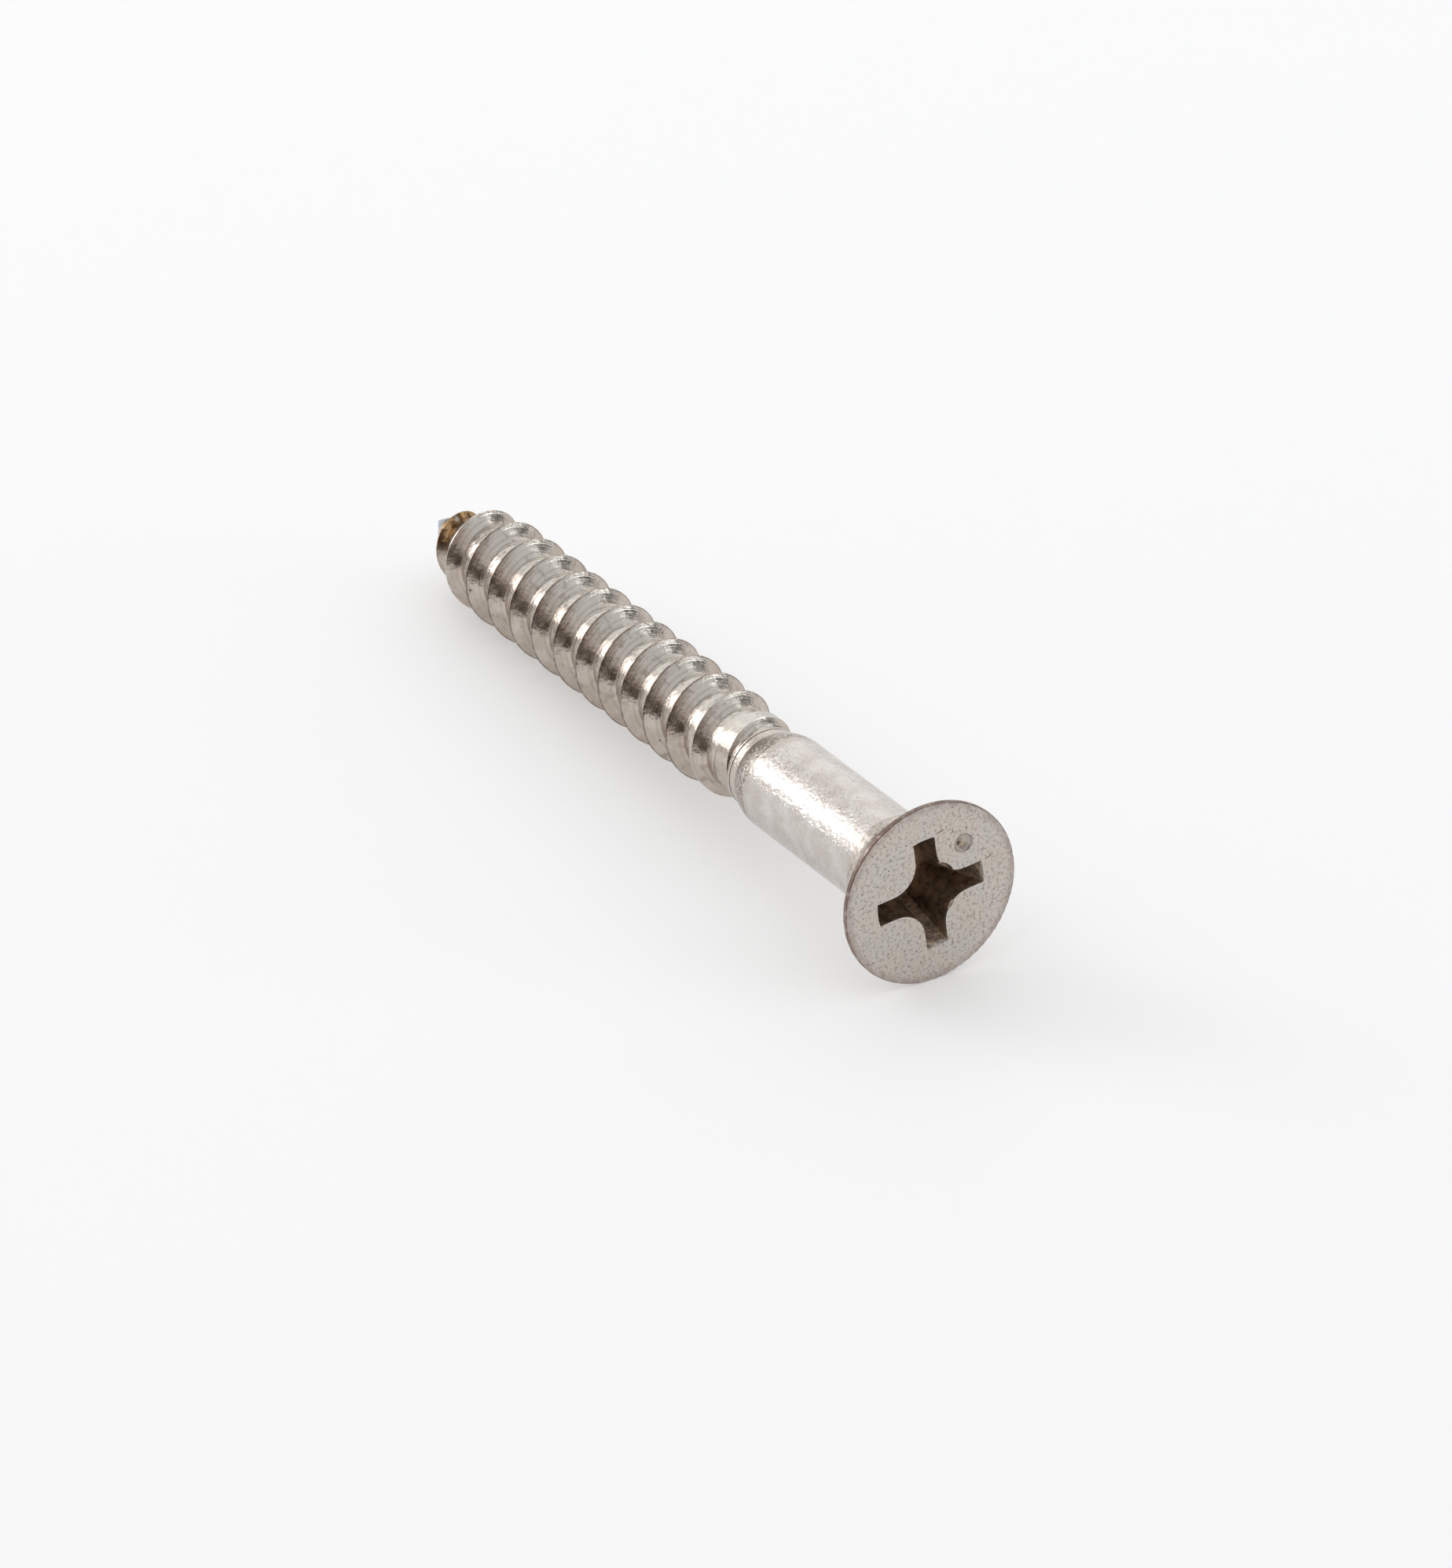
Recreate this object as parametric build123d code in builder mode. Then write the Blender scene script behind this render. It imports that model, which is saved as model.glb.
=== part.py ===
from build123d import *
from math import cos, pi, radians, sin, tan
import os

# Countersunk cross-recess wood screw, about 4 x 38 mm (No. 8 x 1 1/2 in), right-hand thread.
# The screw is one headed and rolled piece of wire. It is written out as five sections of that
# piece, which meet face to face: head, shank, neck, thread and gimlet_point.
# The axis lies along X: the face of the head is at X = 0 and looks along +X, the point is at
# X = -length, and +Z is up as the screw lies on a table. A distance "along" the screw is measured
# from the face of the head towards the point. An angle around the axis starts at +Z and turns
# towards +Y, which is the way a right-hand thread turns as it runs towards the point.

os.makedirs("parts", exist_ok=True)

# ---------------------------------------------------------------- driving dimensions (mm, degrees)
length = 38.1                # face of the head to the point

head_dia = 7.65
head_angle = 82.0            # included angle of the countersunk cone
rim_land = 0.21              # straight edge between the face and the cone
rim_round = 0.06             # rounding of both edges of the rim
under_head_round = 0.6       # where the cone runs into the shank

recess_span = 4.81           # from wing end to opposite wing end, at the face
recess_wing = 0.96           # width of a wing at the face
recess_corner = 1.15         # rounding of the metal between two wings
recess_depth = 2.5
recess_draft = 7.0           # slope of the wing sides
recess_end_slope = 26.5      # slope of the wing ends
recess_turn = -6.5           # how far the cross is turned about the axis
recess_floor = 0.4           # metal left in the head section behind the recess

dimple_dia = 0.80            # plain round dimple between two wings
dimple_depth = 0.17
dimple_offset = 2.31         # from the axis
dimple_turn = 41.0

shank_dia = 4.03
shank_end = 10.6             # where the full shank ends, from the face
shoulder_length = 1.1        # rounded step from the shank down to the neck
neck_dia = 3.46
neck_length = 0.5
ring_offset = 0.35           # fine turned ring in the neck, from the end of the shoulder
ring_width = 0.07
ring_depth = 0.035

thread_dia = 4.30            # over the crests
root_dia = 3.20
pitch = 1.764
crest_width = 0.05
head_flank = 0.56            # axial width of the flank that faces the head
point_flank = 0.44           # axial width of the flank that faces the point
flank_hollow = 0.06          # how far a flank is hollowed
flank_bury = 0.04            # how far a flank's foot lies under the core's surface
root_run_in = 1.3            # over which the core goes from the neck to the root diameter
start_groove_offset = 0.16   # groove that the rolling dies leave before the thread, from the neck
start_groove_width = 0.36
start_groove_depth = 0.12
first_crest = 12.67          # where the ridge rises out of the core, from the face
crest_phase = 15.17          # where a full crest passes the angle crest_turn
crest_turn = 47.0
half_crest_run = 0.35        # over which the ridge comes up to a low crest
low_crest_dia = 3.70
full_crest = 15.2            # from where the crest is full

point_length = 5.2           # pinched point, from the last full crest
point_fullness = 2.2         # power of the curve that the crests follow to the point
tip_dia = 0.10
last_crest = 0.75            # the ridge stops this far from the point
ridge_base = 0.75            # depth that the ridge is rooted to, as a share of the core's radius
least_ridge = 0.01           # height of the ridge where it starts and where it runs out
sections_per_turn = 12

# ---------------------------------------------------------------- values worked out from them
head_radius = head_dia / 2
shank_radius = shank_dia / 2
neck_radius = neck_dia / 2
root_radius = root_dia / 2
crest_radius = thread_dia / 2
tip_radius = tip_dia / 2

cone_end = rim_land + (head_radius - shank_radius) / tan(radians(head_angle / 2))
head_end = max(cone_end + under_head_round, recess_depth + recess_floor)
shoulder_end = shank_end + shoulder_length
neck_end = shoulder_end + neck_length
point_start = length - point_length
lead = pitch / (2 * pi)      # advance along the screw for one radian of turn
groove_start = neck_end + start_groove_offset
groove_end = groove_start + start_groove_width


def along(distance, radius=0.0):
    """A point of a half outline, at a distance along the screw and a radius from its axis."""
    return (-distance, radius)


def face_plane(distance=0.0):
    """The plane across the axis at a distance along the screw, looking back towards the head.

    Its X axis is the row's -Y and its Y axis is +Z, so it is seen as from behind the head's face.
    """
    return Plane(origin=(-distance, 0, 0), x_dir=(0, -1, 0), z_dir=(-1, 0, 0))


def ramp(value, start, end):
    """0 before start, 1 after end and a straight rise between them."""
    return min(max((value - start) / (end - start), 0.0), 1.0)


# ---------------------------------------------------------------- head with its cross recess
def recess_cutter():
    """The cross recess: four wings with drafted sides, whose ends slope in to a blunt bottom."""
    with BuildPart(mode=Mode.PRIVATE) as cutter:
        with BuildSketch(face_plane()) as cross:
            Rectangle(recess_span, recess_wing)
            Rectangle(recess_wing, recess_span)
            corners = cross.vertices().sort_by_distance((0, 0, 0))[:4]
            fillet(corners, radius=recess_corner)
        extrude(amount=recess_depth, taper=recess_draft)
        bottom_radius = recess_span / 2 - recess_depth * tan(radians(recess_end_slope))
        with BuildSketch(Plane.XY):
            with BuildLine():
                Polyline(
                    along(0),
                    along(0, recess_span / 2),
                    along(recess_depth, bottom_radius),
                    along(recess_depth),
                    close=True,
                )
            make_face()
        revolve(axis=Axis.X, mode=Mode.INTERSECT)
    return cutter.part.rotate(Axis.X, -recess_turn)


with BuildPart() as head:
    with BuildSketch(Plane.XY):
        with BuildLine():
            Polyline(
                along(0),
                along(0, head_radius),
                along(rim_land, head_radius),
                along(cone_end, shank_radius),
                along(head_end, shank_radius),
                along(head_end),
                close=True,
            )
        make_face()
    revolve(axis=Axis.X)
    rim_edges = head.edges().filter_by(GeomType.CIRCLE).group_by(SortBy.RADIUS)[-1]
    fillet(rim_edges, radius=rim_round)
    waist = head.edges().filter_by(GeomType.CIRCLE).filter_by_position(Axis.X, -cone_end, -cone_end)
    fillet(waist, radius=under_head_round)
    add(recess_cutter(), mode=Mode.SUBTRACT)
    dimple_sphere = (dimple_dia**2 / 4 + dimple_depth**2) / (2 * dimple_depth)
    dimple_centre = (
        dimple_sphere - dimple_depth,
        dimple_offset * sin(radians(dimple_turn)),
        dimple_offset * cos(radians(dimple_turn)),
    )
    with Locations(dimple_centre):
        Sphere(dimple_sphere, mode=Mode.SUBTRACT)

# ---------------------------------------------------------------- plain shank
with BuildPart() as shank:
    with BuildSketch(face_plane(head_end)):
        Circle(shank_radius)
    extrude(amount=shank_end - head_end)

# ---------------------------------------------------------------- shoulder and neck
with BuildPart() as neck:
    with BuildSketch(Plane.XY):
        with BuildLine():
            drop = shank_radius - neck_radius
            shoulder_radius = (shoulder_length**2 + drop**2) / (2 * drop)
            Line(along(neck_end, neck_radius), along(neck_end))
            Line(along(neck_end), along(shank_end))
            Line(along(shank_end), along(shank_end, shank_radius))
            RadiusArc(along(shank_end, shank_radius), along(shoulder_end, neck_radius), -shoulder_radius)
            Line(along(shoulder_end, neck_radius), along(neck_end, neck_radius))
        make_face()
    revolve(axis=Axis.X)
    with BuildSketch(face_plane(shoulder_end + ring_offset)):
        Circle(neck_radius + ring_depth)
        Circle(neck_radius - ring_depth, mode=Mode.SUBTRACT)
    extrude(amount=ring_width, mode=Mode.SUBTRACT)


# ---------------------------------------------------------------- thread and gimlet point
def core_radius(distance):
    """Radius of the bare core under the thread."""
    if distance < point_start:
        share = ramp(distance, neck_end, neck_end + root_run_in)
        return neck_radius + (root_radius - neck_radius) * share
    share = (distance - point_start) / point_length
    return tip_radius + (root_radius - tip_radius) * (1 - share**2)


def top_radius(distance):
    """Radius of the ridge's top: it rises in two steps and follows the point down to nothing."""
    low = low_crest_dia / 2
    rise = (low - core_radius(first_crest)) * ramp(distance, first_crest, first_crest + half_crest_run)
    fill = (crest_radius - low) * ramp(distance, first_crest + half_crest_run, full_crest)
    share = ramp(distance, point_start, length - last_crest / 2)
    taper = 1 - share**point_fullness
    return (core_radius(first_crest) + rise + fill) * taper


def ridge_section(turn):
    """The ridge cut by the half plane at an angle: two hollow flanks and a narrow crest.

    A ridge that isn't full is the same ridge cut off lower, as rolling leaves it.
    """
    centre = crest_phase + lead * (turn - radians(crest_turn))
    core = core_radius(centre)
    top = max(top_radius(centre), core + least_ridge)
    scale = min(core / root_radius, 1.0)
    share = min((top - core) / (crest_radius - root_radius), 1.0)
    inset = share if centre < point_start else 1.0
    head_side = head_flank * scale
    point_side = point_flank * scale
    half_crest = crest_width / 2
    head_top = -(half_crest + (head_side - half_crest) * (1 - inset))
    point_top = half_crest + (point_side - half_crest) * (1 - inset)
    foot = core - flank_bury * scale
    base = core * ridge_base
    hollow = flank_hollow * share
    half_plane = Plane(origin=(-centre, 0, 0), x_dir=(-1, 0, 0), z_dir=(0, cos(turn), -sin(turn)))
    with BuildSketch(half_plane, mode=Mode.PRIVATE) as section:
        with BuildLine():
            Line((head_top, top), (point_top, top))
            SagittaArc((point_top, top), (point_side, foot), -hollow)
            Polyline((point_side, foot), (point_side, base), (-head_side, base), (-head_side, foot))
            SagittaArc((-head_side, foot), (head_top, top), -hollow)
        make_face()
    return section.sketch


def threaded_end():
    """Everything from the neck to the point as one body: the core with the ridge wound on it.

    The ridge is joined on one turn at a time. The core starts inside the neck and is cut off
    where the neck ends, so that the ridge never stands in the neck's section.
    """
    first_turn = radians(crest_turn) + (first_crest - crest_phase) / lead
    last_turn = radians(crest_turn) + (length - last_crest - crest_phase) / lead
    steps = round((last_turn - first_turn) / (2 * pi) * sections_per_turn)
    turns = [first_turn + (last_turn - first_turn) * step / steps for step in range(steps + 1)]
    ridge = [ridge_section(turn) for turn in turns]
    with BuildPart(mode=Mode.PRIVATE) as body:
        with BuildSketch(Plane.XY):
            with BuildLine():
                Polyline(
                    along(length, tip_radius),
                    along(length),
                    along(shoulder_end),
                    along(shoulder_end, neck_radius),
                    along(neck_end, neck_radius),
                    along(groove_start, core_radius(groove_start)),
                )
                SagittaArc(
                    along(groove_start, core_radius(groove_start)),
                    along(groove_end, core_radius(groove_end)),
                    start_groove_depth,
                )
                Polyline(
                    along(groove_end, core_radius(groove_end)),
                    along(neck_end + root_run_in, root_radius),
                    along(point_start, root_radius),
                )
                Bezier(
                    along(point_start, root_radius),
                    along(point_start + point_length / 2, root_radius),
                    along(length, tip_radius),
                )
            make_face()
        revolve(axis=Axis.X)
        for start in range(0, steps, sections_per_turn):
            loft(ridge[start : start + sections_per_turn + 1])
        split(bisect_by=face_plane(neck_end), keep=Keep.TOP)
    return body.part


screwed = threaded_end()
point_plane = face_plane(point_start)

with BuildPart() as thread:
    add(screwed)
    split(bisect_by=point_plane, keep=Keep.BOTTOM)

with BuildPart() as gimlet_point:
    add(screwed)
    split(bisect_by=point_plane, keep=Keep.TOP)

# ---------------------------------------------------------------- labels and files
head.part.label = "head"
shank.part.label = "shank"
neck.part.label = "neck"
thread.part.label = "thread"
gimlet_point.part.label = "gimlet_point"

for section in (head, shank, neck, thread, gimlet_point):
    export_step(section.part, f"parts/{section.part.label}.step")
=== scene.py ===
import math
import random

import bmesh
import bpy
from mathutils import Matrix, Vector


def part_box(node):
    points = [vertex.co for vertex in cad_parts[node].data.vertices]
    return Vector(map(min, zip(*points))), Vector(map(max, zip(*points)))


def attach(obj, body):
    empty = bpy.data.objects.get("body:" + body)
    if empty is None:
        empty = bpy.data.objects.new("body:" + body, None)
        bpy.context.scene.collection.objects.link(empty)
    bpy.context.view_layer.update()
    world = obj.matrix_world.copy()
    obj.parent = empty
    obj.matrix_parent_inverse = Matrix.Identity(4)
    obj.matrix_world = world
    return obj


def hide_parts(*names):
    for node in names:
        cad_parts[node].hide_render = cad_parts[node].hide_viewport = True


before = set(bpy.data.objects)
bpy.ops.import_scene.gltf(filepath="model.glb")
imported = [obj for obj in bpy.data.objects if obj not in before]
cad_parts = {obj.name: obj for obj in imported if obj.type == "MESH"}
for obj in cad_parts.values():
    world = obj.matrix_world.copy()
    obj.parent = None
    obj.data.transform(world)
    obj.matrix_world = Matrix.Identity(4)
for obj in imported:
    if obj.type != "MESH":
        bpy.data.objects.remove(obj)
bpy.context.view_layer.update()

# A countersunk wood screw lying on a pale table top. The frame is the CAD's: the axis along X, the
# face of the head at X = 0 and looking along +X, the point at -X. Lengths are in metres, and the
# materials and the wear marks work in millimetres. A turn about the axis starts at +Z and goes
# towards +Y, in degrees.

MM = 0.001

head_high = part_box("head")[1]
shank_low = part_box("shank")[0]
neck_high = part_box("neck")[1]
thread_low, thread_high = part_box("thread")
point_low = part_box("gimlet_point")[0]

head_radius = head_high.z
crest_radius = thread_high.z
screw_length = head_high.x - point_low.x

# ------------------------------------------------------------------ how the screw lies
# The rim of the head and the last full crests touch the table, so the axis leans down to the point.
lean = math.atan2(head_radius - crest_radius, -thread_low.x)
table_up = Vector((math.sin(lean), 0, math.cos(lean)))
table_along = Vector((math.cos(lean), 0, -math.sin(lean)))
table_aside = Vector((0, 1, 0))
table_point = -table_up * head_radius * math.cos(lean)


def direction(azimuth, elevation):
    """A direction seen from the screw: azimuth 0 is -Y and 90 the head's side, in degrees."""
    turn, rise = math.radians(azimuth), math.radians(elevation)
    level = table_along * math.sin(turn) - table_aside * math.cos(turn)
    return level * math.cos(rise) + table_up * math.sin(rise)


def out_and_side(turn):
    """Two directions across the axis: out from it at a turn, and sideways from there."""
    sine, cosine = math.sin(math.radians(turn)), math.cos(math.radians(turn))
    return Vector((0, sine, cosine)), Vector((0, cosine, -sine))


def add_object(name, data):
    thing = bpy.data.objects.new(name, data)
    bpy.context.scene.collection.objects.link(thing)
    return thing


# ------------------------------------------------------------------ camera
CAMERA_AZIMUTH = 58.84
CAMERA_ELEVATION = 30.84
CAMERA_DISTANCE = 0.3951
CAMERA_LENS = 229.0
AIM_SHARE = 0.399            # along the screw from the face of the head
AIM_DROP = 2.1 * MM          # below the axis


def add_camera():
    aim = Vector((-screw_length * AIM_SHARE, 0, 0)) - table_up * AIM_DROP
    back = direction(CAMERA_AZIMUTH, CAMERA_ELEVATION)
    right = table_up.cross(back).normalized()
    camera = add_object("camera", bpy.data.cameras.new("camera"))
    turn = Matrix((right, back.cross(right), back)).transposed().to_4x4()
    camera.matrix_world = Matrix.Translation(aim + back * CAMERA_DISTANCE) @ turn
    camera.data.lens = CAMERA_LENS
    camera.data.clip_start = 0.01
    camera.data.clip_end = 10.0
    bpy.context.scene.camera = camera


# ------------------------------------------------------------------ material helpers
SPECK_CORE = 0.6             # share of a speck's size that is fully dark


class Surface:
    """A Principled material under construction, with the screw's own coordinates in millimetres."""

    def __init__(self, name):
        self.material = bpy.data.materials.new(name)
        self.material.use_nodes = True
        self.tree = self.material.node_tree
        self.shader = self.tree.nodes["Principled BSDF"]
        place = self.node("ShaderNodeTexCoord").outputs["Object"]
        scaled = self.node("ShaderNodeVectorMath", operation="SCALE", Vector=place, Scale=1 / MM)
        self.place = scaled.outputs["Vector"]
        parts = self.node("ShaderNodeSeparateXYZ", Vector=self.place)
        self.x = parts.outputs["X"]
        self.z = parts.outputs["Z"]
        across = self.node("ShaderNodeCombineXYZ", Y=parts.outputs["Y"], Z=parts.outputs["Z"])
        self.across = across.outputs["Vector"]
        length = self.node("ShaderNodeVectorMath", operation="LENGTH", Vector=self.across)
        self.radius = length.outputs["Value"]

    def node(self, kind, operation=None, **inputs):
        made = self.tree.nodes.new(kind)
        if operation:
            made.operation = operation
        for name, value in inputs.items():
            self.feed(made.inputs[name], value)
        return made

    def feed(self, socket, value):
        if isinstance(value, bpy.types.NodeSocket):
            self.tree.links.new(value, socket)
        else:
            socket.default_value = value

    def math(self, operation, first, second):
        made = self.node("ShaderNodeMath", operation)
        self.feed(made.inputs[0], first)
        self.feed(made.inputs[1], second)
        return made.outputs["Value"]

    def times(self, first, second):
        return self.math("MULTIPLY", first, second)

    def distance_from(self, offset, turn):
        """Distance from a line along the screw, which stands off the axis at a turn."""
        made = self.node("ShaderNodeVectorMath", operation="DISTANCE", Vector=self.across)
        made.inputs[1].default_value = out_and_side(turn)[0] * offset
        return made.outputs["Value"]

    def spread(self, value, low, high, least=0.0, most=1.0):
        """A smooth step from least to most while the value goes from low to high."""
        made = self.node("ShaderNodeMapRange", Value=value)
        made.interpolation_type = "SMOOTHSTEP"
        made.inputs["From Min"].default_value = low
        made.inputs["From Max"].default_value = high
        made.inputs["To Min"].default_value = least
        made.inputs["To Max"].default_value = most
        return made.outputs["Result"]

    def noise(self, scale, detail):
        """Smooth noise from 0 to 1, with scale features in a millimetre."""
        made = self.node("ShaderNodeTexNoise", Vector=self.place, Scale=scale, Detail=detail)
        return made.outputs["Fac"]

    def patches(self, scale, detail, low, high, least=0.0, most=1.0):
        """Cloudy patches: from least to most while the noise goes from low to high."""
        return self.spread(self.noise(scale, detail), low, high, least, most)

    def lines(self, value, scale):
        """Noise that varies only with one value, so it draws lines across it."""
        made = self.tree.nodes.new("ShaderNodeTexNoise")
        made.noise_dimensions = "1D"
        self.feed(made.inputs["W"], value)
        made.inputs["Scale"].default_value = scale
        made.inputs["Detail"].default_value = 3.0
        return made.outputs["Fac"]

    def specks(self, scale, size, share):
        """1 in small round specks: scale cells in a millimetre, of which a share holds one."""
        made = self.node("ShaderNodeTexVoronoi", Vector=self.place, Scale=scale)
        luck = self.node("ShaderNodeSeparateColor", Color=made.outputs["Color"]).outputs["Red"]
        chosen = self.math("LESS_THAN", luck, share)
        return self.times(chosen, self.spread(made.outputs["Distance"], size, size * SPECK_CORE))

    def colours(self, factor, first, second):
        """One colour turning into another; each is three numbers or a socket."""
        made = self.tree.nodes.new("ShaderNodeMix")
        made.data_type = "RGBA"
        self.feed(made.inputs[0], factor)
        self.feed(made.inputs[6], first if isinstance(first, bpy.types.NodeSocket) else (*first, 1))
        self.feed(made.inputs[7], second if isinstance(second, bpy.types.NodeSocket) else (*second, 1))
        return made.outputs[2]

    def bumps(self, *layers):
        """Bump layers over each other, each a height from 0 to 1 and how high 1 is, in millimetres."""
        normal = None
        for height, rise in layers:
            bump = self.node("ShaderNodeBump", Height=height)
            bump.inputs["Distance"].default_value = rise * MM
            if normal:
                self.tree.links.new(normal, bump.inputs["Normal"])
            normal = bump.outputs["Normal"]
        self.tree.links.new(normal, self.shader.inputs["Normal"])

    def finish(self, colour, roughness, metallic=1.0):
        self.feed(self.shader.inputs["Base Color"], colour)
        self.feed(self.shader.inputs["Roughness"], roughness)
        self.shader.inputs["Metallic"].default_value = metallic
        return self.material


def put_on(node_name, material):
    """Gives the material to every slot of a CAD node."""
    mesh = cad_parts[node_name].data
    for index in range(len(mesh.materials)):
        mesh.materials[index] = material


# ------------------------------------------------------------------ colours of the metal and the dirt
NICKEL = (0.49, 0.42, 0.365)         # worn nickel on steel, slightly pink
NICKEL_LIGHT = (0.58, 0.52, 0.47)
NICKEL_COOL = (0.56, 0.525, 0.49)
NICKEL_DARK = (0.30, 0.245, 0.205)
NICKEL_TOP_SHEEN = (0.61, 0.585, 0.54)   # painted sheen: the side of the thread that faces up is lighter and cooler
WIRE = (0.58, 0.53, 0.495)           # the tumbled shank, more neutral
WIRE_LIGHT = (0.68, 0.645, 0.615)
MAUVE = (0.36, 0.29, 0.27)           # rubbed edges
RIM_BROWN = (0.21, 0.15, 0.125)      # dirt on the edge of the head
OIL = (0.50, 0.375, 0.27)            # old oil in the recess
SOOT = (0.15, 0.11, 0.085)
OCHRE = (0.47, 0.30, 0.15)           # stain round the last turn
RUST = (0.14, 0.08, 0.042)
STEEL_BLUE = (0.33, 0.37, 0.43)      # bare steel at the tip
TABLE_TONE = (0.80, 0.805, 0.81, 1)

# ------------------------------------------------------------------ where they are
# In millimetres and degrees. A pair is where a look starts and where it is full.
HEAD_EDGE = head_radius / MM
RIM_RUBBED = (0.45, 0.04)    # in from the head's edge: the rubbed band
RIM_DIRTY = (0.06, 0.02)     # in from the head's edge: the dirt on the edge itself
RIM_LAND = (0.24, 0.20)      # down from the face: the same dirt, which ends there
RECESS_MOUTH = 2.5           # reach of the recess at the face
RECESS_TAPER = 0.5           # how much less it is for each millimetre down
RECESS_EDGE = (-0.02, 0.12)  # in from that reach: the inside of the recess
OIL_DEPTH = (0.03, 0.17)     # down from the face: the oil
DIMPLE_OFFSET = 2.31         # from the axis to the round dimple between two wings
DIMPLE_TURN = 41.0
DIMPLE_SHADE_START = (0.32, 0.38)   # out from the dimple's middle: a dark ring of painted shade
DIMPLE_SHADE_END = (0.44, 0.40)
DIMPLE_FLOOR = (0.42, 0.36)  # out from the dimple's middle: its rougher metal
SHANK_RUBBED = (0.5, 0.1)    # before the end of the shank
SHOULDER = (1.0, 0.6)        # from the start of the neck: the rough shoulder, which ends there
UPWARD_SHEEN = (0.72, 0.97)        # share of the radius that points up: where the painted lighter sheen of the thread starts and is full
CREST_DARK_REFLECTION = 0.07            # width of the painted dark reflection down from the crest
STAIN_START = 3.0            # from the tip: where the last turn is stained
STAIN_SOFT = 0.3
STAIN_HEIGHT = (-0.1, 0.5)   # above the axis: the stain is strong on the upper side
BARE_START = 1.1             # from the tip: where the steel is bare
BARE_SOFT = 0.2
STAIN_WANDER = 0.25          # how far both of those edges wander


# ------------------------------------------------------------------ finishes
def in_recess(s):
    """1 down in the recess, below its clean edge."""
    reach = s.math("ADD", s.times(s.x, RECESS_TAPER), RECESS_MOUTH)
    inside = s.spread(s.math("SUBTRACT", reach, s.radius), *RECESS_EDGE)
    return s.times(inside, s.spread(s.x, -OIL_DEPTH[0], -OIL_DEPTH[1]))


def rubbed_rim(s):
    """The unevenly rubbed band inside the rim."""
    band = s.spread(s.radius, HEAD_EDGE - RIM_RUBBED[0], HEAD_EDGE - RIM_RUBBED[1], most=0.8)
    return s.times(band, s.patches(3.0, 4.0, low=0.35, high=0.6, least=0.3))


def dirty_edge(s):
    """Patchy dirt on the straight edge of the head."""
    outside = s.spread(s.radius, HEAD_EDGE - RIM_DIRTY[0], HEAD_EDGE - RIM_DIRTY[1])
    edge = s.times(outside, s.spread(s.x, -RIM_LAND[0], -RIM_LAND[1]))
    return s.times(edge, s.patches(2.5, 4.0, low=0.35, high=0.55, least=0.3, most=0.95))


def dimple_shade_ring(s, from_dimple):
    """A painted dark ring of shade round the dimple."""
    ring = s.times(s.spread(from_dimple, *DIMPLE_SHADE_START), s.spread(from_dimple, *DIMPLE_SHADE_END))
    return s.times(ring, s.patches(4.0, 3.0, low=0.35, high=0.6, least=0.35, most=0.8))


def face_specks(s):
    """Larger and finer dark specks, denser in some places."""
    specks = s.math("MAXIMUM", s.specks(3.2, 0.15, 0.22), s.specks(8.0, 0.26, 0.12))
    return s.times(specks, s.patches(3.0, 3.0, low=0.35, high=0.65, least=0.25, most=0.75))


def head_finish():
    """Matte and finely pitted on the face, rubbed at the rim, brown and oily down in the recess."""
    s = Surface("nickel_head")
    from_dimple = s.distance_from(DIMPLE_OFFSET, DIMPLE_TURN)
    specks = face_specks(s)
    tone = s.colours(s.patches(0.9, 3.0, low=0.4, high=0.62), NICKEL_LIGHT, NICKEL_COOL)
    tone = s.colours(s.patches(7.0, 5.0, low=0.48, high=0.68, most=0.65), tone, NICKEL_DARK)
    tone = s.colours(s.patches(5.5, 4.0, low=0.44, high=0.3, most=0.5), tone, WIRE_LIGHT)
    tone = s.colours(specks, tone, SOOT)
    tone = s.colours(rubbed_rim(s), tone, MAUVE)
    tone = s.colours(dirty_edge(s), tone, RIM_BROWN)
    # Painted shade: a dark ring round the dimple.
    tone = s.colours(dimple_shade_ring(s, from_dimple), tone, NICKEL_DARK)
    oily = s.colours(s.patches(3.0, 4.0, low=0.41, high=0.67), OIL, SOOT)
    tone = s.colours(s.times(in_recess(s), 0.75), tone, oily)
    rough = s.patches(5.0, 4.0, low=0.3, high=0.7, least=0.28, most=0.46)
    rough = s.math("ADD", rough, s.spread(from_dimple, *DIMPLE_FLOOR, most=0.22))
    s.bumps((s.noise(6.0, 5.0), 0.026), (specks, -0.03))
    return s.finish(tone, rough)


def shank_finish():
    """Drawn and tumbled wire under nickel: a fine orange peel that breaks up the highlight."""
    s = Surface("nickel_shank")
    end = shank_low.x / MM
    rubbed = s.spread(s.x, end + SHANK_RUBBED[0], end + SHANK_RUBBED[1])
    tone = s.colours(s.patches(1.1, 3.0, low=0.35, high=0.7), WIRE, WIRE_LIGHT)
    tone = s.colours(s.patches(12.0, 3.0, low=0.56, high=0.7, most=0.5), tone, NICKEL)
    tone = s.colours(s.times(rubbed, s.noise(8.0, 4.0)), tone, NICKEL)
    tone = s.colours(s.times(s.specks(3.0, 0.16, 0.25), 0.6), tone, NICKEL_DARK)
    rough = s.patches(4.0, 3.0, low=0.3, high=0.7, least=0.2, most=0.32)
    s.bumps((s.noise(4.5, 4.0), 0.040), (s.noise(8.0, 3.0), 0.017))
    return s.finish(tone, rough)


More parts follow.
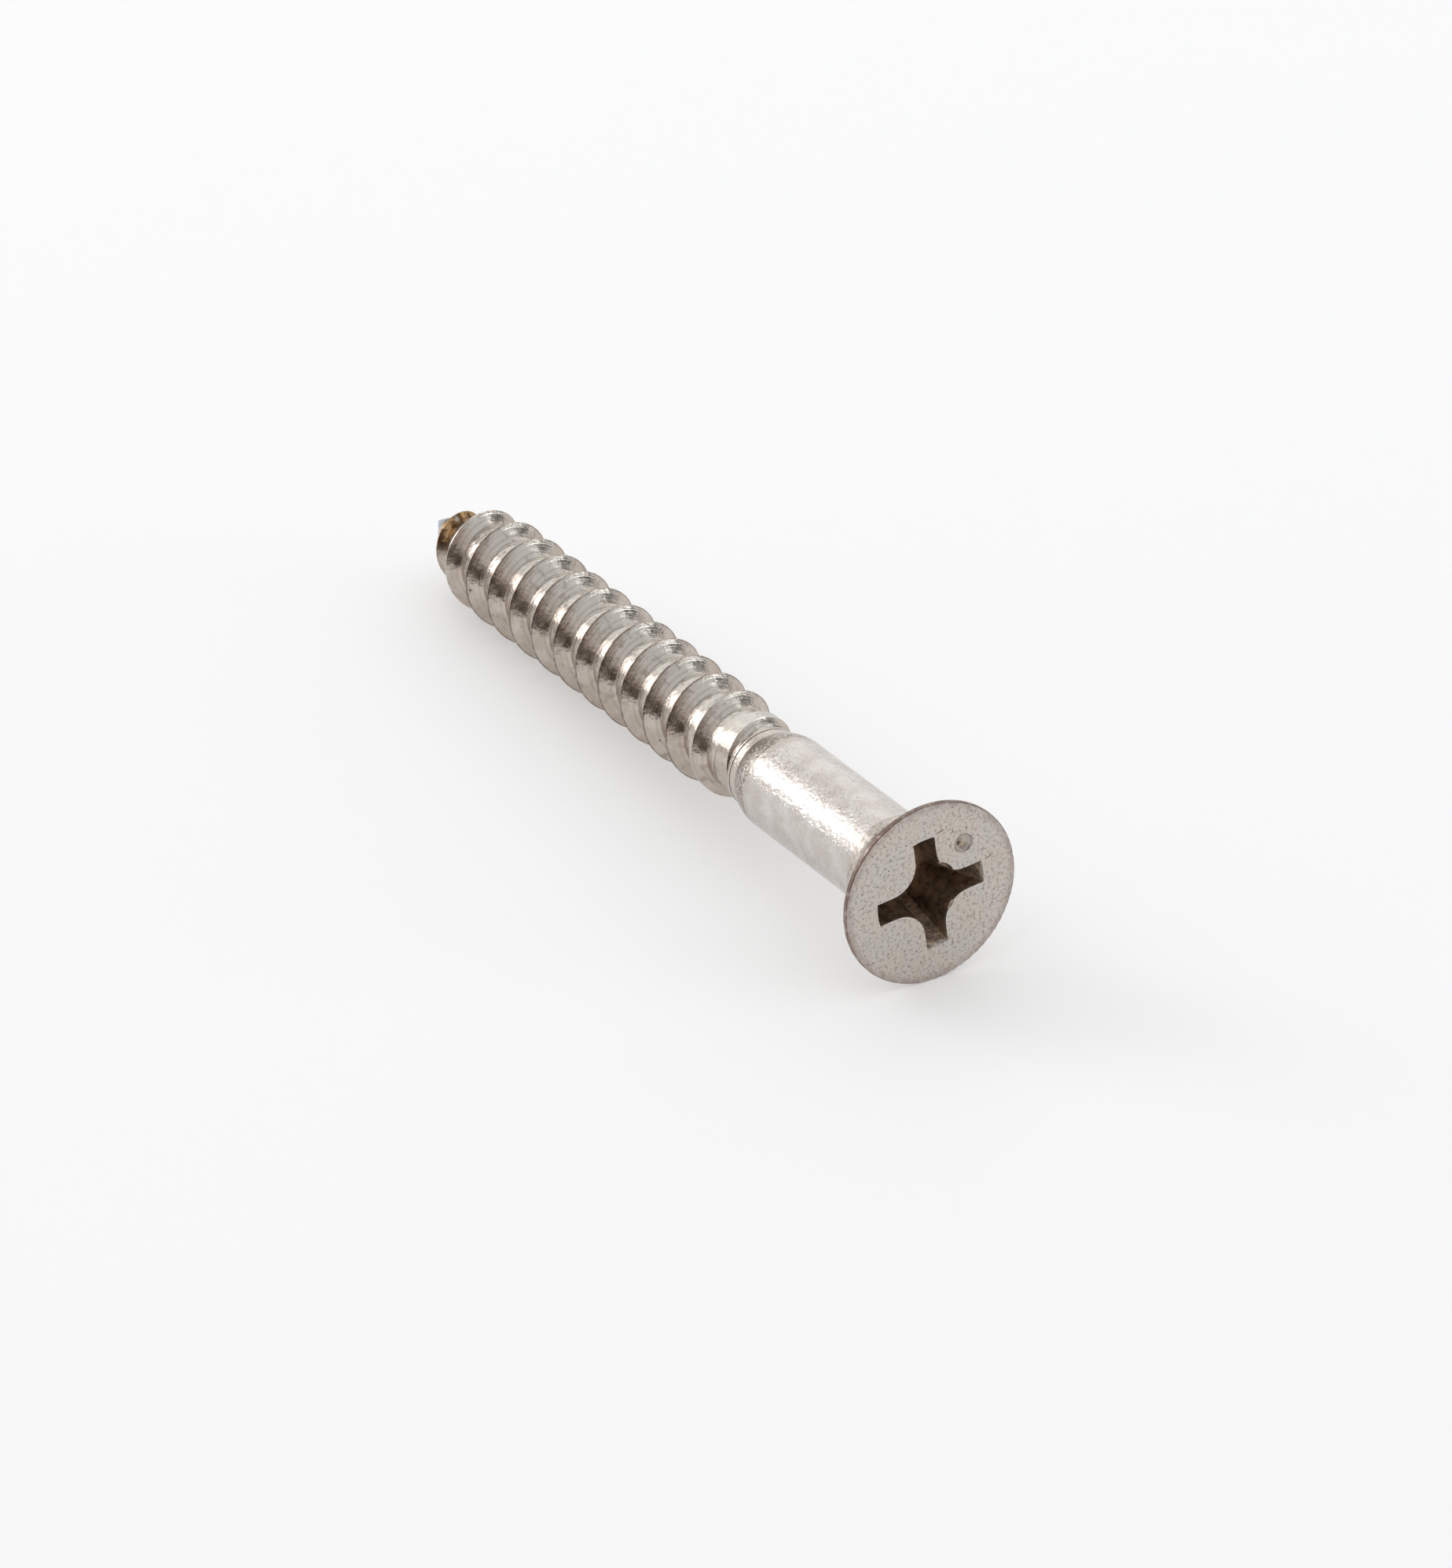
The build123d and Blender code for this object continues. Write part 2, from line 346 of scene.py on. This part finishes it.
def neck_finish():
    """The rounded shoulder is rough, with grey grain that is partly darkened as painted dark
    reflection; fine turned lines run round the neck.
    """
    s = Surface("nickel_neck")
    start = neck_high.x / MM
    shoulder = s.spread(s.x, start - SHOULDER[0], start - SHOULDER[1])
    # Partly painted reflection: the shoulder's own grey grain is darkened to stand in for the dark
    # surroundings it reflects.
    tone = s.colours(s.patches(10.0, 4.0, low=0.42, high=0.66), NICKEL_DARK, WIRE_LIGHT)
    tone = s.colours(shoulder, NICKEL_LIGHT, tone)
    rough = s.spread(shoulder, 0.0, 1.0, least=0.14, most=0.3)
    s.bumps((s.lines(s.x, 7.0), 0.015), (s.noise(9.0, 4.0), 0.03))
    return s.finish(tone, rough)


def rolled(s):
    """The tone, roughness and bumps that the rolling dies leave along the ridge and its root, with a
    painted lighter sheen on the side that faces up.
    """
    flank_lines = s.lines(s.radius, 9.0)
    root_lines = s.lines(s.x, 5.0)
    upward = s.math("DIVIDE", s.z, s.radius)
    tone = s.colours(s.patches(1.4, 3.0, low=0.35, high=0.7), NICKEL, NICKEL_LIGHT)
    # Painted sheen: the side that faces up is lighter and cooler, standing in for the light it
    # reflects from above.
    tone = s.colours(s.spread(upward, *UPWARD_SHEEN, most=0.8), tone, NICKEL_TOP_SHEEN)
    tone = s.colours(s.patches(2.6, 4.0, low=0.52, high=0.72, most=0.6), tone, NICKEL_DARK)
    tone = s.colours(s.spread(flank_lines, 0.5, 0.68, most=0.3), tone, NICKEL_DARK)
    tone = s.colours(s.times(s.specks(1.3, 0.09, 0.4), 0.95), tone, SOOT)
    rough = s.patches(4.0, 3.0, low=0.3, high=0.7, least=0.12, most=0.25)
    s.bumps((flank_lines, 0.012), (root_lines, 0.010), (s.noise(6.0, 4.0), 0.014))
    return tone, rough


def thread_finish():
    """Bright satin root, finely lined flanks and a painted dark reflection along the crest."""
    s = Surface("nickel_thread")
    tone, rough = rolled(s)
    crest = crest_radius / MM
    # Painted reflection: a dark line down from the crest, where its rounding would reflect the dark
    # side.
    crest_reflection = s.spread(s.radius, crest - CREST_DARK_REFLECTION, crest - CREST_DARK_REFLECTION / 3)
    crest_reflection = s.times(crest_reflection, s.patches(5.0, 3.0, low=0.3, high=0.6, least=0.35, most=0.75))
    return s.finish(s.colours(crest_reflection, tone, SOOT), rough)


def point_finish():
    """As the thread, with a brown stain round the last turn and bare blue-grey steel at the tip."""
    s = Surface("nickel_point")
    tone, rough = rolled(s)
    tip = point_low.x / MM
    wander = s.patches(1.5, 3.0, low=0.0, high=1.0, least=-STAIN_WANDER, most=STAIN_WANDER)
    along = s.math("ADD", s.x, wander)
    stained = s.spread(along, tip + STAIN_START, tip + STAIN_START - STAIN_SOFT)
    stained = s.times(stained, s.spread(s.z, *STAIN_HEIGHT, least=0.1))
    stained = s.times(stained, s.patches(2.2, 3.0, low=0.3, high=0.45, least=0.4))
    stain = s.colours(s.patches(2.8, 4.0, low=0.45, high=0.56), OCHRE, RUST)
    tone = s.colours(stained, tone, stain)
    bare = s.spread(along, tip + BARE_START, tip + BARE_START - BARE_SOFT)
    tone = s.colours(bare, tone, STEEL_BLUE)
    rough = s.math("ADD", rough, s.times(stained, 0.12))
    return s.finish(tone, rough)


def table_finish():
    """Plain near-white card with a hardly visible tooth."""
    s = Surface("table_top")
    s.bumps((s.noise(2.0, 3.0), 0.004))
    s.shader.inputs["Specular IOR Level"].default_value = 0.1
    s.shader.inputs["Emission Color"].default_value = (1, 1, 1, 1)
    s.shader.inputs["Emission Strength"].default_value = TABLE_LIFT
    rough = s.patches(0.6, 3.0, low=0.3, high=0.7, least=0.7, most=0.8)
    return s.finish(TABLE_TONE, rough, metallic=0.0)


# ------------------------------------------------------------------ table and light
TABLE_HALF = 1.5
TABLE_LIFT = 0.27            # light added to the table, so that it stays near white
ROOM_TINT = (0.99, 1.0, 1.0, 1)
ROOM_LIGHT = 0.76            # brightness all round, behind the softboxes
STUDIO_RADIUS = 0.8
STUDIO_GAP = 0.02            # each softbox or card stands this much behind the one before it
PATCH_STEPS = 3

# name, azimuth from and to, elevation from and to, brightness
STUDIO = (
    ("key_softbox", (-71, -44), (12, 35), (3.7, 3.7, 3.7)),
    ("left_softbox", (-176, -104), (8, 46), (1.2, 1.2, 1.19)),
    ("left_softbox_high", (-104, -46), (29, 46), (1.32, 1.32, 1.3)),
    ("far_card", (-106, -66), (1, 29), (0.28, 0.26, 0.25)),
    ("right_softbox", (130, 150), (2, 18), (3.3, 3.35, 3.4)),
    ("right_card", (150, 178), (5, 29), (0.2, 0.2, 0.19)),
    ("back_light", (151, 166), (29, 38), (2.2, 2.2, 2.2)),
    ("camera_card", (12, 88), (2, 24), (0.08, 0.064, 0.052)),
    ("camera_card_edge", (-2, 94), (2, 29), (0.26, 0.225, 0.2)),
    ("camera_card_rim", (-8, 112), (1, 38), (0.5, 0.45, 0.42)),
)


def add_table():
    ends = ((-1, -1), (1, -1), (1, 1), (-1, 1))
    corners = [table_point + (table_along * a + table_aside * b) * TABLE_HALF for a, b in ends]
    mesh = bpy.data.meshes.new("table_top")
    mesh.from_pydata(corners, [], [range(4)])
    mesh.materials.append(table_finish())
    add_object("table_top", mesh)


def glow(name, brightness):
    """A material that shines evenly and reflects nothing."""
    material = bpy.data.materials.new(name)
    material.use_nodes = True
    shader = material.node_tree.nodes["Principled BSDF"]
    shader.inputs["Base Color"].default_value = (0, 0, 0, 1)
    shader.inputs["Specular IOR Level"].default_value = 0.0
    shader.inputs["Emission Color"].default_value = (*brightness, 1)
    shader.inputs["Emission Strength"].default_value = 1.0
    return material


def patch_steps(first, last):
    return [first + (last - first) * step / PATCH_STEPS for step in range(PATCH_STEPS + 1)]


def add_studio_patch(name, azimuths, elevations, brightness, distance):
    """A softbox or card as a patch of a sphere round the screw, which cameras look through."""
    corners = [
        table_point + direction(azimuth, elevation) * distance
        for elevation in patch_steps(*elevations)
        for azimuth in patch_steps(*azimuths)
    ]
    row = PATCH_STEPS + 1
    firsts = [up * row + across for up in range(PATCH_STEPS) for across in range(PATCH_STEPS)]
    mesh = bpy.data.meshes.new(name)
    mesh.from_pydata(corners, [], [(k, k + 1, k + row + 1, k + row) for k in firsts])
    mesh.materials.append(glow(name, brightness))
    patch = add_object(name, mesh)
    patch.visible_camera = False


def add_room_light():
    world = bpy.data.worlds.new("room")
    world.use_nodes = True
    background = world.node_tree.nodes["Background"]
    background.inputs["Color"].default_value = ROOM_TINT
    background.inputs["Strength"].default_value = ROOM_LIGHT
    bpy.context.scene.world = world
    bpy.context.scene.view_settings.view_transform = "Standard"


# ------------------------------------------------------------------ wear marks in the head
# In millimetres and degrees.
WING_TURN = -6.5             # where one of the recess's four wings is
WING_REACH = 2.6             # pits nearer the axis than this keep off the wings
WING_ANGLE = 26              # to each side of a wing
SHARP_ANGLE = 22             # an edge that bends more than this is sharp
LEVEL = 0.9999               # a face that looks along +X more than this belongs to the flat face
WELD = 0.0001                # vertices nearer than this are one
FACE_PITS = 46
PIT_OFFSET = (1.5, 3.65)     # from the axis
PIT_SIZE = (0.022, 0.05)
PIT_STRETCH = (0.7, 1.5)
PIT_DEPTH = 0.7              # of its size
PIT_GAP = 0.25               # from the next pit or mark
DIMPLE_REACH = 0.3           # from the dimple's middle to the points that pits keep off

# Distance from the axis and turn about it, half sizes outwards, sideways and down, spin.
MARKS = {
    "punch_slip": (DIMPLE_OFFSET - 0.1, DIMPLE_TURN - 2.5, 0.12, 0.09, 0.24, 20),
    "tear_top": (2.6, 10.5, 0.035, 0.2, 0.06, -22),
    "tear_right": (2.74, 73.0, 0.19, 0.035, 0.06, 0),
    "rim_nick": (3.87, 81.5, 0.12, 0.16, 0.09, 15),
    "rim_graze": (3.86, 318.0, 0.07, 0.24, 0.07, 4),
    "web_chip": (1.15, 38.5, 0.17, 0.42, 0.40, 4),
    "web_graze": (1.15, 128.5, 0.08, 0.24, 0.08, -8),
}


def mark_matrix(offset, turn, outwards, sideways, down, spin):
    """Places a unit ball as a mark in the head's face."""
    out, side = out_and_side(turn)
    basis = Matrix((out, side, Vector((-1, 0, 0)))).transposed().to_4x4()
    place = Matrix.Translation(out * offset * MM) @ basis
    size = Matrix.Diagonal((outwards * MM, sideways * MM, down * MM, 1))
    return place @ Matrix.Rotation(math.radians(spin), 4, "Z") @ size


def on_a_wing(offset, turn):
    from_wing = abs((turn - WING_TURN + 45) % 90 - 45)
    return offset < WING_REACH and from_wing < WING_ANGLE


def face_pits():
    """Small pits between the recess and the rim, clear of the dimple, the marks and each other."""
    draw = random.Random(7)
    out, side = out_and_side(DIMPLE_TURN)
    dimple = out * DIMPLE_OFFSET * MM
    taken = [dimple] + [dimple + way * DIMPLE_REACH * MM for way in (out, -out, side, -side)]
    taken += [mark_matrix(*mark).translation for mark in MARKS.values()]
    pits = []
    while len(pits) < FACE_PITS:
        offset = draw.uniform(*PIT_OFFSET)
        turn = draw.uniform(0, 360)
        size = draw.uniform(*PIT_SIZE)
        stretched = size * draw.uniform(*PIT_STRETCH)
        spin = draw.uniform(0, 90)
        pit = mark_matrix(offset, turn, size, stretched, size * PIT_DEPTH, spin)
        clear = all((pit.translation - other).length > PIT_GAP * MM for other in taken)
        if clear and not on_a_wing(offset, turn):
            pits.append(pit)
            taken.append(pit.translation)
    return pits


def welded_head():
    """A copy of the CAD head's mesh with its doubled vertices joined, so that it is closed."""
    shape = bmesh.new()
    shape.from_mesh(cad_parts["head"].data)
    bmesh.ops.remove_doubles(shape, verts=shape.verts, dist=WELD * MM)
    mesh = bpy.data.meshes.new("worn_head")
    shape.to_mesh(mesh)
    return mesh


def mark_balls():
    """All the marks and pits, as balls to cut away."""
    shape = bmesh.new()
    for place in [mark_matrix(*mark) for mark in MARKS.values()] + face_pits():
        bmesh.ops.create_icosphere(shape, subdivisions=2, radius=1.0, matrix=place)
    mesh = bpy.data.meshes.new("marks")
    shape.to_mesh(mesh)
    return mesh


def cut_away(piece, cutter):
    """Takes the cutter out of the piece, and removes it."""
    cut = piece.modifiers.new("marks", "BOOLEAN")
    cut.object = cutter
    cut.operation = "DIFFERENCE"
    cut.solver = "EXACT"
    bpy.context.view_layer.update()
    result = piece.evaluated_get(bpy.context.evaluated_depsgraph_get())
    piece.data = bpy.data.meshes.new_from_object(result)
    piece.modifiers.clear()
    bpy.data.objects.remove(cutter)


def set_smoothing(mesh):
    """Smooth everywhere, but sharp at real edges and all round the flat face and its pits."""
    shape = bmesh.new()
    shape.from_mesh(mesh)
    for face in shape.faces:
        face.smooth = True
    for edge in shape.edges:
        levels = {face.normal.x > LEVEL for face in edge.link_faces}
        edge.smooth = edge.calc_face_angle(0) < math.radians(SHARP_ANGLE) and len(levels) == 1
    shape.to_mesh(mesh)


def worn_head():
    """The CAD head with its wear marks cut in."""
    piece = add_object("worn_head", welded_head())
    cut_away(piece, add_object("marks", mark_balls()))
    set_smoothing(piece.data)
    piece.data.materials.clear()
    piece.data.materials.append(head_finish())
    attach(piece, "root")
    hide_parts("head")


# ------------------------------------------------------------------ the scene
add_camera()
add_table()
add_room_light()
for order, patch in enumerate(STUDIO):
    add_studio_patch(*patch, STUDIO_RADIUS + order * STUDIO_GAP)

worn_head()
put_on("shank", shank_finish())
put_on("neck", neck_finish())
put_on("thread", thread_finish())
put_on("gimlet_point", point_finish())
